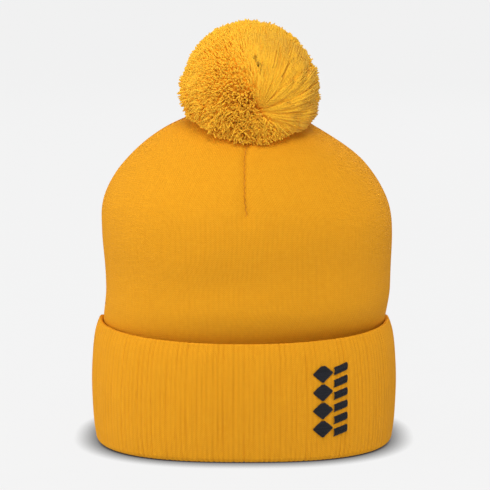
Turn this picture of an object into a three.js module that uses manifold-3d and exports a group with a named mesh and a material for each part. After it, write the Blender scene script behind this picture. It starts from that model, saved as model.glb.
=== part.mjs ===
// A pom-pom beanie standing on its turned-up cuff. Millimetres, +Z up, front of the hat towards -Y.
// The hat is one knitted tube folded into plies: an outer shell, a lining inside it, and a cuff of
// two more plies turned up round the bottom. Each ply is a closed solid of its own, with a small
// gap to the next one, and so is every seam, the pom's two tufts, its ties and the stitched motif.

import * as THREE from 'three';
import { mergeVertices } from 'three/addons/utils/BufferGeometryUtils.js';
import Module from 'manifold-3d';

// ---- driving dimensions -------------------------------------------------------------------------

const KNIT = 1.3;              // thickness of one ply of fine-gauge knit
const GAP = 0.3;               // clearance between touching pieces
const ROUND = 36;              // facets round the hat
const DEPTH = 0.88;            // front-to-back size over side-to-side size

const SHELL_RADIUS = 89.6;     // outer shell's half width inside the cuff
const SHELL_TUBE_TOP = 76;     // the shell is a straight tube up to here, so the cuff can travel on it
const SHELL_SHAPE = [          // half width and height of the shell above the tube
  [90.4, 104], [91.6, 133], [88.6, 155], [77, 175], [57.6, 192], [31, 206.8],
];
const APEX_HEIGHT = 213.5;       // top of the crown
const APEX_HOLE = 3.2;         // hole that the pom's anchor thread passes through

const CUFF_SHAPE = [           // half width and height of the cuff's outer face
  [94.6, 3.4], [96.1, 16], [97, 38], [96, 58], [94.6, 69], [93.9, 74.5],
];
const CUFF_SAG = 4;            // how far the cuff's top dips at front and back
const LINING_MID = SHELL_RADIUS - 1.5 * KNIT - GAP;           // half width to the lining's mid-line
const TURN_CENTRE = (LINING_MID + CUFF_SHAPE[0][0] - KNIT / 2) / 2;   // middle of the turn-up fold
const HEM_INNER = 90.6;        // mid-line of the hem's inner leg

const SQUARE_TUBE = 2.38;      // superellipse exponent of shell and lining
const SQUARE_CUFF = 2.6;       // exponent at the cuff's foot, easing to the shell's at its top
const LEAN_X = [               // sideways drift of the shell's middle with height
  [72, 0], [98, 2.6], [134, 2.2], [176, 0.1], [198, -2], [213.5, 1.7],
];
const LEAN_Y = [[110, 0], [213.5, -7]];   // the crown slumps a little towards the front

const SEAM_FOOT = 151;         // height where a crown seam ends
const SEAM_HEAD = 14;          // half width where it starts, near the apex
const SEAM_DRIFT = [           // sideways place of the front and back crown seams with height
  [150, 1.6], [164, 0.4], [182, 0.4], [200, 3], [213.5, 1.7],
];
const SEAM_WIDTH = 2.4;
const SEAM_THICKNESS = 0.8;

const POM_CENTRE = [3, -23, 222.6];
const POM_RADII = [44, 43, 44];
const POM_NOD = 8;             // degrees the pom tips back from where it lies
const POM_SWAY = 6;            // degrees to either side
const KNOT_FLOOR = 207.4;      // inside floor of the cup-shaped knot under the lining
const POM_CLEARANCE = 1.8;     // over the shell, so the pom also passes over the crown seams
const TIE_YAW = 17;            // degrees that the parting between the tufts is turned
const CORE_RADIUS = 1.8;
const THREAD_RADIUS = 0.9;     // the pom's anchor thread

const MOTIF_BOTTOM = 15;
const MOTIF_HEIGHT = 48;
const MOTIF_THICKNESS = 0.9;
const MOTIF_COLUMNS = [
  { name: 'left', x: 48, width: 11.6, count: 4 },
  { name: 'right', x: 58.8, width: 8.2, count: 6 },
];

const LABEL = { width: 22, length: 38, leaf: 0.35, fold: 1.4, top: 80 };

// ---- materials ----------------------------------------------------------------------------------

const knitFinish = (colour, roughness) => new THREE.MeshStandardMaterial({
  color: colour, roughness, metalness: 0,
});
const AMBER_KNIT = knitFinish('#e79e1e', 0.92);
const AMBER_YARN = knitFinish('#efa625', 0.95);
const SEAM_THREAD = knitFinish('#c9860f', 0.85);
const BLACK_THREAD = knitFinish('#16181f', 0.55);
const WHITE_SATIN = knitFinish('#f1efe9', 0.5);
const BACKING_FELT = knitFinish('#e8e6e0', 0.95);

const hat = new THREE.Group();

function piece(name, geometry, material) {
  const mesh = new THREE.Mesh(geometry, material.clone());
  mesh.name = name;
  hat.add(mesh);
  return mesh;
}

// ---- shape of the hat ---------------------------------------------------------------------------

/** Value at height z of a table of [height, value] rows, eased smoothly from row to row. */
function easedTable(rows, z) {
  return rows.slice(1).reduce((value, [height, next], i) => {
    const [height0, value0] = rows[i];
    return value + (next - value0) * THREE.MathUtils.smoothstep(z, height0, height);
  }, rows[0][1]);
}

/** How far the superellipse of this exponent stands out from the ellipse at angle theta. */
function squareOff(theta, exponent) {
  const c = Math.abs(Math.cos(theta)) ** exponent;
  const s = Math.abs(Math.sin(theta)) ** exponent;
  return (c + s) ** (-1 / exponent);
}

/** The cuff's face is squarest at its foot. Its inner leg keeps the section of the tube inside it. */
function cuffSquare(r, z) {
  const rise = THREE.MathUtils.clamp(z / SHELL_TUBE_TOP, 0, 1);
  const face = THREE.MathUtils.lerp(SQUARE_CUFF, SQUARE_TUBE + 0.03, rise);
  const outwards = THREE.MathUtils.clamp((r - LINING_MID) / (CUFF_SHAPE[0][0] - LINING_MID), 0, 1);
  return THREE.MathUtils.lerp(SQUARE_TUBE, face, outwards);
}

/** The shell's cross-section is square-shouldered in the tube and rounds off towards the apex. */
const shellSquare = (z) => THREE.MathUtils.lerp(
  SQUARE_TUBE, 2, THREE.MathUtils.smoothstep(z, 120, 200),
);

/** Point on the hat at half width r, angle theta and height z. */
function shellPoint(r, theta, z) {
  const reach = r * squareOff(theta, shellSquare(z));
  return new THREE.Vector3(
    easedTable(LEAN_X, z) + reach * Math.cos(theta),
    easedTable(LEAN_Y, z) + DEPTH * reach * Math.sin(theta),
    z,
  );
}

function cuffPoint(r, theta, z) {
  const reach = r * squareOff(theta, cuffSquare(r, z));
  const dip = CUFF_SAG * Math.sin(theta) ** 2 * THREE.MathUtils.smoothstep(z, 8, SHELL_TUBE_TOP);
  return new THREE.Vector3(reach * Math.cos(theta), DEPTH * reach * Math.sin(theta), z - dip);
}

/** Moves every vertex of a geometry to where place(x, y, z) says. */
function reshape(geometry, place) {
  const position = geometry.attributes.position;
  for (let i = 0; i < position.count; i += 1) {
    const p = place(position.getX(i), position.getY(i), position.getZ(i));
    position.setXYZ(i, p.x, p.y, p.z);
  }
  geometry.computeVertexNormals();
  return geometry;
}

/** Turns a profile of Vector2(half width, height) round the hat, then squares and leans it. */
function turned(profile, point) {
  const lathe = new THREE.LatheGeometry(profile, ROUND);
  lathe.rotateX(Math.PI / 2);
  return reshape(lathe, (x, y, z) => {
    const r = Math.hypot(x, y);
    return r < 1e-6 ? point(0, 0, z) : point(r, Math.atan2(y, x), z);
  });
}

/** The line at a distance inside an open profile, to the left of its direction of travel. */
function inset(line, distance) {
  const leftOf = (from, to) => {
    const along = to.clone().sub(from).normalize();
    return new THREE.Vector2(-along.y, along.x);
  };
  const last = line.length - 1;
  return line.map((p, i) => {
    const before = leftOf(line[Math.max(0, i - 1)], line[Math.max(1, i)]);
    const after = leftOf(line[Math.min(last - 1, i)], line[Math.min(last, i + 1)]);
    const mitre = before.clone().add(after).normalize();
    return p.clone().addScaledVector(mitre, distance / mitre.dot(before));
  });
}

/** Closed profile of a ply lying between two distances inside a line. */
function plyProfile(line, near, far) {
  const loop = [...inset(line, near), ...inset(line, far).reverse()];
  return [...loop, loop[0].clone()];
}

const vectors = (rows) => rows.map(([x, y]) => new THREE.Vector2(x, y));

// ---- shell and lining ---------------------------------------------------------------------------

/** The shell's outer line from its foot to the apex hole. */
function shellLine(foot) {
  const apexRim = [APEX_HOLE, APEX_HEIGHT - 0.15];
  const dome = new THREE.SplineCurve(
    vectors([[SHELL_RADIUS, SHELL_TUBE_TOP], ...SHELL_SHAPE, apexRim]),
  );
  return [new THREE.Vector2(SHELL_RADIUS, foot), ...dome.getPoints(13)];
}

function buildShells() {
  const shell = plyProfile(shellLine(5.3), 0, KNIT);
  piece('outer_shell', turned(shell, shellPoint), AMBER_KNIT);
  const lining = plyProfile(shellLine(7.3), KNIT + GAP, 2 * KNIT + GAP);
  piece('lining_shell', turned(lining, shellPoint), AMBER_KNIT);
}

// ---- cuff ---------------------------------------------------------------------------------------

/** Half circle of mid-line round the turn-up fold, with a flat at the bottom to stand on. */
function turnUp(radius, height) {
  return [0, 33.75, 67.5, 112.5, 146.25, 180].map((degrees) => {
    const angle = Math.PI + THREE.MathUtils.degToRad(degrees);
    return new THREE.Vector2(
      TURN_CENTRE + radius * Math.cos(angle), height + radius * Math.sin(angle),
    );
  });
}

const CUFF_WALL = new THREE.SplineCurve(vectors(CUFF_SHAPE)).getPoints(6);

function buildCuff() {
  const half = KNIT / 2;
  const foldRadius = CUFF_WALL[0].x - half - TURN_CENTRE;
  const foldHeight = half + foldRadius * Math.cos(Math.PI / 8);
  const face = inset(CUFF_WALL, half);
  const top = face[face.length - 1];
  const hemRadius = (top.x - HEM_INNER) / 2;
  const hem = [45, 90, 135].map((degrees) => new THREE.Vector2(
    HEM_INNER + hemRadius + hemRadius * Math.cos(THREE.MathUtils.degToRad(degrees)),
    top.y + hemRadius * Math.sin(THREE.MathUtils.degToRad(degrees)),
  ));
  const faceLine = [
    new THREE.Vector2(TURN_CENTRE - foldRadius, 7),
    ...turnUp(foldRadius, foldHeight).slice(0, -1),
    ...face,
    ...hem,
    new THREE.Vector2(HEM_INNER, top.y),
    new THREE.Vector2(HEM_INNER, 71.5),
  ];
  piece('cuff_face', turned(plyProfile(faceLine, -half, half), cuffPoint), AMBER_KNIT);

  const backRadius = foldRadius - KNIT - GAP;
  const backLine = [
    new THREE.Vector2(TURN_CENTRE - backRadius, 5),
    ...turnUp(backRadius, foldHeight),
    ...vectors([[92.2, 20], [92, 45], [91.4, 64], [HEM_INNER, 71.2]]),
  ];
  piece('cuff_back', turned(plyProfile(backLine, -half, half), cuffPoint), AMBER_KNIT);
}

// ---- crown seams --------------------------------------------------------------------------------

/** How far a front or back crown seam wanders off the hat's middle at a height. */
function seamDrift(theta, z) {
  return Math.abs(Math.sin(theta)) * (easedTable(SEAM_DRIFT, z) - easedTable(LEAN_X, z));
}

/** A flat thread band that follows the shell's line on one of its four sides. */
function seamBand(theta, lift) {
  const line = inset(shellLine(SHELL_TUBE_TOP - 1), -lift);
  const stretch = line.filter((p) => p.y > SEAM_FOOT && p.x > SEAM_HEAD);
  const path = new THREE.SplineCurve(stretch);
  const steps = 10;
  const band = new THREE.BoxGeometry(SEAM_WIDTH, SEAM_THICKNESS, 1, 1, 1, steps);
  const side = new THREE.Vector3(-Math.sin(theta), Math.cos(theta), 0);
  return reshape(band, (across, out, along) => {
    const t = 0.5 + along;
    const at = path.getPoint(t);
    const run = path.getTangent(t);
    const place = shellPoint(at.x + run.y * out, theta, at.y - run.x * out);
    if (lift > 0) place.x += seamDrift(theta, at.y);
    return place.addScaledVector(side, -across);
  });
}

function buildSeams() {
  const sides = { right: 0, back: 90, left: 180, front: 270 };
  const outside = GAP + SEAM_THICKNESS / 2 + 0.1;
  const inside = -(2 * KNIT + 2 * GAP + SEAM_THICKNESS / 2 + 0.1);
  Object.entries(sides).forEach(([side, degrees]) => {
    const theta = THREE.MathUtils.degToRad(degrees);
    piece(`crown_seam_${side}`, seamBand(theta, outside), SEAM_THREAD);
    piece(`lining_seam_${side}`, seamBand(theta, inside), SEAM_THREAD);
  });
}

// ---- solids cut and joined ----------------------------------------------------------------------

const wasm = await Module();
wasm.setup();

function solid(geometry) {
  const bare = geometry.clone();
  bare.deleteAttribute('normal');
  bare.deleteAttribute('uv');
  const merged = mergeVertices(bare, 1e-4);
  return new wasm.Manifold(new wasm.Mesh({
    numProp: 3,
    vertProperties: new Float32Array(merged.attributes.position.array),
    triVerts: new Uint32Array(merged.index.array),
  }));
}

function geometryOf(manifold) {
  const mesh = manifold.getMesh();
  const geometry = new THREE.BufferGeometry();
  geometry.setAttribute('position', new THREE.BufferAttribute(mesh.vertProperties, 3));
  geometry.setIndex(new THREE.BufferAttribute(mesh.triVerts, 1));
  geometry.computeVertexNormals();
  return geometry;
}

// ---- pom ----------------------------------------------------------------------------------------

const APEX = shellPoint(0, 0, APEX_HEIGHT);
const TIE = new THREE.Vector3(...POM_CENTRE);

/** The dome under the pom, a little larger than the shell, as the pom sees it at one tilt. */
function domeAt(nodDegrees, swayDegrees) {
  const grown = inset(shellLine(SHELL_TUBE_TOP), -POM_CLEARANCE).filter((p) => p.y > 150);
  const foot = new THREE.Vector2(0, grown[0].y);
  const peak = new THREE.Vector2(0, APEX_HEIGHT + POM_CLEARANCE);
  const dome = turned([foot, ...grown, peak], shellPoint);
  dome.translate(-APEX.x, -APEX.y, -APEX.z);
  dome.rotateX(THREE.MathUtils.degToRad(nodDegrees));
  dome.rotateY(THREE.MathUtils.degToRad(-swayDegrees));
  dome.translate(APEX.x, APEX.y, APEX.z);
  return solid(dome);
}

/** Puts a geometry made about the origin onto the tie, turned with the parting. */
function atTie(geometry) {
  geometry.rotateZ(THREE.MathUtils.degToRad(TIE_YAW));
  return geometry.translate(TIE.x, TIE.y, TIE.z);
}

function rod(radius, length, facets) {
  return new THREE.CylinderGeometry(radius, radius, length, facets).rotateZ(Math.PI / 2);
}

function pomBall() {
  const ball = new THREE.SphereGeometry(1, 28, 16);
  ball.scale(...POM_RADII);
  ball.translate(...POM_CENTRE);
  let cut = solid(ball);
  [0, POM_NOD].forEach((nod) => {
    [-POM_SWAY, 0, POM_SWAY].forEach((sway) => {
      cut = cut.subtract(domeAt(nod, sway));
    });
  });
  return cut;
}

/** The hollow at the pom's heart round the yarn core, and the way in for the anchor thread. */
function heart() {
  const hollow = solid(atTie(rod(7.5, 9, 16)));
  const way = TIE.clone().sub(APEX);
  const shaft = new THREE.CylinderGeometry(4.5, 4.5, way.length(), 16);
  shaft.applyQuaternion(new THREE.Quaternion().setFromUnitVectors(
    new THREE.Vector3(0, 1, 0), way.clone().normalize(),
  ));
  const middle = APEX.clone().addScaledVector(way, 0.5);
  shaft.translate(middle.x, middle.y, middle.z);
  return hollow.add(solid(shaft)).subtract(solid(atTie(rod(CORE_RADIUS, 60, 10))));
}

function buildPom() {
  const ball = pomBall().subtract(heart());
  const reach = 200;
  [['left', -1], ['right', 1]].forEach(([side, sign]) => {
    const half = new THREE.BoxGeometry(reach, reach, reach);
    half.translate(sign * (reach / 2 + GAP / 2), 0, 0);
    piece(`pom_tuft_${side}`, geometryOf(ball.intersect(solid(atTie(half)))), AMBER_YARN);
  });

  const ring = new THREE.TorusGeometry(3.3, 0.7, 8, 20).rotateY(Math.PI / 2);
  piece('pom_tie', atTie(ring.translate(-2.2, 0, 0)), AMBER_YARN);

  const way = TIE.clone().sub(APEX).normalize();
  const route = new THREE.CatmullRomCurve3([
    new THREE.Vector3(APEX.x, APEX.y, KNOT_FLOOR + GAP),
    new THREE.Vector3(APEX.x, APEX.y, APEX_HEIGHT + 0.5),
    APEX.clone().addScaledVector(way, 6),
    TIE.clone().addScaledVector(way, -6.5),
  ]);
  const round = new THREE.Shape().absarc(0, 0, THREAD_RADIUS, 0, 2 * Math.PI);
  const thread = new THREE.ExtrudeGeometry(round, {
    steps: 14, curveSegments: 8, extrudePath: route,
  });
  piece('pom_anchor_thread', thread, AMBER_YARN);
}

/** A cup of knotted thread that closes the hole inside the lining and holds the thread's end. */
function buildAnchorKnot() {
  const rim = APEX_HEIGHT - 2 * KNIT - GAP - 1;
  const cup = vectors([
    [0, KNOT_FLOOR - 1.2], [4.6, KNOT_FLOOR - 1.2], [5.8, KNOT_FLOOR - 0.2], [5.4, rim],
    [3, rim], [3, KNOT_FLOOR], [0, KNOT_FLOOR],
  ]);
  const knot = new THREE.LatheGeometry(cup, 24).rotateX(Math.PI / 2);
  piece('anchor_knot', knot.translate(APEX.x, APEX.y, 0), AMBER_YARN);
}

// ---- stitched motif -----------------------------------------------------------------------------

/** Half width of the cuff's face at a height. */
function cuffRadius(z) {
  const above = CUFF_WALL.findIndex((p) => p.y > z);
  const [low, high] = [CUFF_WALL[above - 1], CUFF_WALL[above]];
  return THREE.MathUtils.mapLinear(z, low.y, high.y, low.x, high.x);
}

/** Point standing out from the cuff's face, at x across the front and height z. */
function onCuff(x, z, out) {
  const r = cuffRadius(z);
  const n = cuffSquare(r, z);
  const share = Math.min(0.999, Math.abs(x) / r);
  const y = r * (1 - share ** n) ** (1 / n);
  const normal = new THREE.Vector3(
    Math.sign(x) * share ** (n - 1), -((y / r) ** (n - 1)) / DEPTH, 0,
  ).normalize();
  const dip = CUFF_SAG * Math.sin(Math.atan2(y, x)) ** 2
    * THREE.MathUtils.smoothstep(z, 8, SHELL_TUBE_TOP);
  return new THREE.Vector3(x, -DEPTH * y, z - dip).addScaledVector(normal, out);
}

/** Lays a flat shape drawn in x and z onto the cuff. */
function laidOnCuff(shape, lift, thickness) {
  const flat = new THREE.ExtrudeGeometry(shape, { depth: thickness, bevelEnabled: false });
  return reshape(flat, (x, z, out) => onCuff(x, z, lift + out));
}

const outline = (rows) => new THREE.Shape(vectors(rows));

/** A lozenge with softly bowed sides, whose extra corners let it bend with the cuff. */
function lozenge(x, z, width, height) {
  const w = width / 2;
  const h = height / 2;
  const bow = 0.54;
  return outline([
    [x, z - h], [x + w * bow, z - h * bow], [x + w, z], [x + w * bow, z + h * bow],
    [x, z + h], [x - w * bow, z + h * bow], [x - w, z], [x - w * bow, z - h * bow],
  ]);
}

function slantedBar(x, z, width, height) {
  const w = width / 2;
  const bar = height * 0.36;
  const rise = height * 0.2;
  return outline([
    [x - w, z - bar - rise], [x, z - bar], [x + w, z - bar + rise],
    [x + w, z + bar + rise], [x, z + bar], [x - w, z + bar - rise],
  ]);
}

function buildMotif() {
  MOTIF_COLUMNS.forEach(({ name, x, width, count }) => {
    const pitch = MOTIF_HEIGHT / count;
    for (let i = 0; i < count; i += 1) {
      const z = MOTIF_BOTTOM + pitch * (i + 0.5);
      const shape = name === 'left'
        ? lozenge(x, z, width, pitch * 0.92)
        : slantedBar(x, z, width, pitch * 0.82);
      const stitch = laidOnCuff(shape, GAP + 0.25, MOTIF_THICKNESS);
      piece(`stitched_${name}_${i + 1}`, stitch, BLACK_THREAD);
    }
  });
}

function buildBacking() {
  const sheet = new THREE.BoxGeometry(26, 54, 0.3, 4, 4, 1).translate(53, 39, 0);
  const behind = -(KNIT + GAP + 0.6);
  piece('motif_backing', reshape(sheet, (x, z, out) => onCuff(x, z, behind + out)), BACKING_FELT);
}

// ---- label --------------------------------------------------------------------------------------

function buildLabel() {
  const { width, length, leaf, fold, top } = LABEL;
  const wall = DEPTH * (SHELL_RADIUS - 2 * KNIT - GAP);
  const back = wall - 0.9;
  const front = back - fold;
  const foot = top - length;
  const loop = outline([
    [back, top], [back - leaf, top], [back - leaf, foot + 0.5], [front + leaf, foot + 0.5],
    [front + leaf, top - 1], [front, top - 1], [front, foot], [back, foot],
  ]);
  const label = new THREE.ExtrudeGeometry(loop, { depth: width, bevelEnabled: false });
  label.translate(0, 0, -width / 2);
  piece('care_label', reshape(label, (y, z, x) => new THREE.Vector3(x, y, z)), WHITE_SATIN);

  const tack = new THREE.BoxGeometry(width, 0.6, 1.2).translate(0, back - 0.2, top + 1.7);
  piece('label_tack', tack, WHITE_SATIN);
}

buildShells();
buildCuff();
buildSeams();
buildPom();
buildAnchorKnot();
buildMotif();
buildBacking();
buildLabel();

export default hat;
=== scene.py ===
# %% [markdown]
# # A knitted pom beanie
#
# The hat is one long knitted tube folded into plies. The outer shell and the lining make the crown,
# two more plies turned up round the bottom make the cuff, and a ball of cut yarn is tied on top.
# The CAD frame already holds each of those pieces at its true size and place. This file dresses it:
# every piece is a surface worked out with numpy from the same driving sizes, and then gets a finish.

import bpy
import numpy as np
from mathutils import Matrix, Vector


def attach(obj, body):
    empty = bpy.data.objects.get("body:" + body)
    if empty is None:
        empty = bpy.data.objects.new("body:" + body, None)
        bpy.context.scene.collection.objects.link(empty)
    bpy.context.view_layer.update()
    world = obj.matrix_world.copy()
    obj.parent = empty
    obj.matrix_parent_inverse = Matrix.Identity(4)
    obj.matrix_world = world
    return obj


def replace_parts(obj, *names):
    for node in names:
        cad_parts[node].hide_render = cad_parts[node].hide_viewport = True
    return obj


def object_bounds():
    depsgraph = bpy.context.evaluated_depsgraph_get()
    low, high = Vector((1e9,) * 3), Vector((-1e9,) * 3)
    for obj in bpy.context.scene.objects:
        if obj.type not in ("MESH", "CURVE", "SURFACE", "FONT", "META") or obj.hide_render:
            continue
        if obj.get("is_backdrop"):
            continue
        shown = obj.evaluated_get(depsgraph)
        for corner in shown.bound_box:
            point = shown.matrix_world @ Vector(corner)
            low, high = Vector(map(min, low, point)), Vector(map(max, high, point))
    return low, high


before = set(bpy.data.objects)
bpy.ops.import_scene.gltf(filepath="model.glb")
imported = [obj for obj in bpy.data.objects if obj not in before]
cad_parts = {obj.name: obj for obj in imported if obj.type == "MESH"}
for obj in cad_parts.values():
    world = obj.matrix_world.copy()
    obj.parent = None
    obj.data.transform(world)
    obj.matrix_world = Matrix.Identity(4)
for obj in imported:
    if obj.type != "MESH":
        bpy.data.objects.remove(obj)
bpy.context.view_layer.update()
MM = 0.001


# %% [markdown]
# ## Camera, floor and light
#
# A hat like this is shown standing on a pale sweep, seen from a little above the cuff with a long
# lens, so its sides stay nearly parallel. One hard lamp would leave a bright spot and a black
# shadow, which cloth in a studio never shows. So six big soft boxes stand round it, the strongest in
# front and to the left, and a sky fills the rest, brighter below, as if a pale floor threw light up.

# %% Camera
CAMERA_DISTANCE = 1.5
CAMERA_RISE = np.radians(8.0)
CAMERA_TARGET = np.array([0.66, 0.0, 122.5]) * MM
LENS_PER_WIDTH = 4.8112
SENSOR_WIDTH = 36


def make_camera():
    """A camera CAMERA_DISTANCE metres back from the target, raised by CAMERA_RISE and facing it."""
    camera = bpy.data.objects.new("camera", bpy.data.cameras.new("camera"))
    bpy.context.scene.collection.objects.link(camera)
    back = np.array([0.0, -np.cos(CAMERA_RISE), np.sin(CAMERA_RISE)])
    camera.location = CAMERA_TARGET + CAMERA_DISTANCE * back
    camera.rotation_euler = (np.pi / 2 - CAMERA_RISE, 0, 0)
    camera.data.sensor_width = SENSOR_WIDTH
    camera.data.lens = SENSOR_WIDTH * LENS_PER_WIDTH
    camera.data.clip_end = 100
    bpy.context.scene.camera = camera


make_camera()
bpy.context.scene.view_settings.view_transform = "Standard"
print("camera lens:", round(SENSOR_WIDTH * LENS_PER_WIDTH, 1), "mm")


# %% Light
LIGHT_TARGET = Vector((0, 0, 0.12))
SOFT_BOXES = {
    # place and size in metres, power in watts
    "key": ((0.1, -1.3, 2.2), 1.2, 31),
    "front": ((-0.3, -2.4, 1.2), 1.2, 14),
    "left": ((-2.4, -0.3, 0.7), 1.3, 29),
    "right": ((2.2, -1.0, 0.6), 1.3, 11),
    "top": ((-0.1, 0.3, 2.2), 1.4, 4.5),
    "back": ((0.6, 2.4, 1.4), 1.2, 14),
}
SKY_ABOVE = 0.2
SKY_BELOW = 0.67


def soft_box(name, place, size, watts):
    """A square area light at place. Its back points away from the hat, so it faces the hat."""
    light = bpy.data.lights.new(name, "AREA")
    light.shape = "SQUARE"
    light.size = size
    light.energy = watts
    lamp = bpy.data.objects.new(name, light)
    bpy.context.scene.collection.objects.link(lamp)
    lamp.location = place
    away = lamp.location - LIGHT_TARGET
    lamp.rotation_euler = away.to_track_quat("Z", "Y").to_euler()


def make_sky(above, below):
    """A sky whose strength goes from below, a little under the horizon, to above, a little over it."""
    world = bpy.data.worlds.new("pale sky")
    world.use_nodes = True
    tree = world.node_tree
    way = tree.nodes.new("ShaderNodeTexCoord")
    split = tree.nodes.new("ShaderNodeSeparateXYZ")
    fade = tree.nodes.new("ShaderNodeMapRange")
    tree.links.new(way.outputs["Generated"], split.inputs[0])
    tree.links.new(split.outputs["Z"], fade.inputs["Value"])
    for key, value in {"From Min": -0.15, "From Max": 0.35, "To Min": below, "To Max": above}.items():
        fade.inputs[key].default_value = value
    background = tree.nodes["Background"]
    background.inputs["Color"].default_value = (0.97, 0.98, 1.0, 1)
    tree.links.new(fade.outputs[0], background.inputs["Strength"])
    bpy.context.scene.world = world


for name, (place, size, watts) in SOFT_BOXES.items():
    soft_box(name, place, size, watts)
make_sky(SKY_ABOVE, SKY_BELOW)
print(len(SOFT_BOXES), "soft boxes")


# %% [markdown]
# ## Putting arrays into meshes
#
# Everything below is made as whole arrays: points, and faces as rows of point numbers. This one
# helper writes them into a mesh. It also measures the enclosed volume, and turns all the faces over
# if that comes out negative, so every closed piece has its faces pointing outwards.

# %% Mesh helper
def enclosed_volume(points, groups):
    """Sum of the signed volumes between the origin and each face, split into a fan of triangles."""
    total = 0.0
    for faces in groups:
        corners = points[faces]
        for k in range(1, faces.shape[1] - 1):
            cross = np.cross(corners[:, k], corners[:, k + 1])
            total += np.einsum("ij,ij->", corners[:, 0], cross) / 6
    return total


def make_piece(name, points, groups, body, finish, uvs=None, shades=None):
    """A mesh object from points (n, 3) and groups of faces, each an array of point numbers.
    uvs has one array per group, (faces, corners, 2). shades is one number per point."""
    points = np.asarray(points, np.float64).reshape(-1, 3)
    if enclosed_volume(points, groups) < 0:
        groups = [faces[:, ::-1] for faces in groups]
        uvs = None if uvs is None else [u[:, ::-1] for u in uvs]
    mesh = bpy.data.meshes.new(name)
    corners = np.concatenate([faces.ravel() for faces in groups]).astype(np.int32)
    sizes = np.concatenate([np.full(len(f), f.shape[1]) for f in groups])
    mesh.vertices.add(len(points))
    mesh.vertices.foreach_set("co", points.astype(np.float32).ravel())
    mesh.loops.add(len(corners))
    mesh.loops.foreach_set("vertex_index", corners)
    mesh.polygons.add(len(sizes))
    starts = np.concatenate([[0], np.cumsum(sizes)[:-1]])
    mesh.polygons.foreach_set("loop_start", starts.astype(np.int32))
    if uvs is not None:
        layer = mesh.uv_layers.new(name="stitches")
        flat = np.concatenate([u.reshape(-1, 2) for u in uvs]).astype(np.float32)
        layer.data.foreach_set("uv", flat.ravel())
    if shades is not None:
        attribute = mesh.attributes.new("shade", "FLOAT", "POINT")
        attribute.data.foreach_set("value", np.asarray(shades, np.float32).ravel())
    mesh.update(calc_edges=True)
    mesh.polygons.foreach_set("use_smooth", np.ones(len(sizes), bool))
    mesh.validate()
    obj = bpy.data.objects.new(name, mesh)
    bpy.context.scene.collection.objects.link(obj)
    obj.data.materials.append(finish)
    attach(obj, body)
    triangles = int((sizes - 2).sum())
    print(f"{name}: {len(points)} points, {triangles} triangles")
    return obj


# %% [markdown]
# ## Finishes
#
# Knitted yarn is matt, with a faint sheen from loose fibres, so each finish is one Principled shader.
# A flat cloth pattern could be wrapped round it, but it would smear where the crown narrows. So colour
# and bump come from a little arithmetic on the piece's own stitch coordinates: u counts ribs round
# the hat and v counts courses up it. A short recorder class keeps that arithmetic readable, since
# each call adds one node and links it.

# %% Node arithmetic
class Recipe:
    """Adds nodes to one material and links them, so a finish reads as a few lines of sums."""

    def __init__(self, name):
        self.material = bpy.data.materials.new(name)
        self.material.use_nodes = True
        self.tree = self.material.node_tree
        self.shader = self.tree.nodes["Principled BSDF"]

    def add(self, kind, settings=None, **inputs):
        """A new node. An input named i and a number is a socket by its place, else by its name."""
        node = self.tree.nodes.new(kind)
        for key, value in (settings or {}).items():
            setattr(node, key, value)
        for key, value in inputs.items():
            socket = node.inputs[int(key[1:])] if key[0] == "i" and key[1:].isdigit() else node.inputs[key]
            self.feed(socket, value)
        return node

    def feed(self, socket, value):
        """Links another node's output to the socket, or writes a plain value into it."""
        if hasattr(value, "links"):
            self.tree.links.new(value, socket)
        else:
            socket.default_value = value

    def math(self, operation, a, b=0.0, c=0.0):
        return self.add("ShaderNodeMath", {"operation": operation}, i0=a, i1=b, i2=c).outputs[0]

    def noise(self, vector, scale, detail=2.0):
        settings = {"noise_dimensions": "3D"}
        node = self.add("ShaderNodeTexNoise", settings, Vector=vector, Scale=scale, Detail=detail)
        return node.outputs[0]

    def blend(self, share, low, high):
        """Colour that runs from low to high as share goes from 0 to 1."""
        node = self.add("ShaderNodeMix", {"data_type": "RGBA"}, i0=share, i6=low, i7=high)
        return node.outputs[2]

    def object_place(self):
        return self.add("ShaderNodeTexCoord").outputs["Object"]

    def stitch_uv(self):
        """The stitch coordinates as a vector, and as u and v on their own."""
        node = self.add("ShaderNodeUVMap", {"uv_map": "stitches"})
        parts = self.add("ShaderNodeSeparateXYZ", Vector=node.outputs[0])
        return node.outputs[0], parts.outputs[0], parts.outputs[1]

    def shade(self):
        return self.add("ShaderNodeAttribute", {"attribute_name": "shade"}).outputs["Fac"]

    def bump(self, height, depth):
        """Tilts the surface's normal as if height, from 0 to 1, stood out by depth."""
        node = self.add("ShaderNodeBump", Height=height, Distance=depth, Strength=1.0)
        self.feed(self.shader.inputs["Normal"], node.outputs[0])

    def surface(self, **sockets):
        """Feeds the shader's own sockets and gives the finished material."""
        for name, value in sockets.items():
            self.feed(self.shader.inputs[name.replace("_", " ")], value)
        return self.material


def srgb(red, green, blue, alpha=1.0):
    """A colour given as 0 to 255 display values, as the linear numbers that a shader takes."""
    display = np.array([red, green, blue]) / 255
    linear = np.where(display <= 0.04045, display / 12.92, ((display + 0.055) / 1.055) ** 2.4)
    return (*linear.tolist(), alpha)


# %% [markdown]
# The knit itself is stockinette: each stitch is a V of two yarn legs, and a column of Vs is a wale.
# The hat has far too many stitches to model one by one, so the ribs are real relief in the mesh and
# the stitches are drawn here. Across one stitch the height is a hump over each leg. Up the wale the
# humps repeat once a course, shifted along the slant of the leg. The valleys between legs, between
# wales and between courses get a deeper, browner yellow as painted shade, darker still in the rib
# valleys through the shade attribute, and slow noise gives the slight heather that dyed yarn has.

# %% Knit finish
YARN_LIGHT = srgb(255, 180, 38)
YARN_MIDDLE = srgb(247, 167, 28)
# YARN_DEEP is painted shade: the colour laid in the knit's valleys.
YARN_DEEP = srgb(206, 122, 8)


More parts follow.
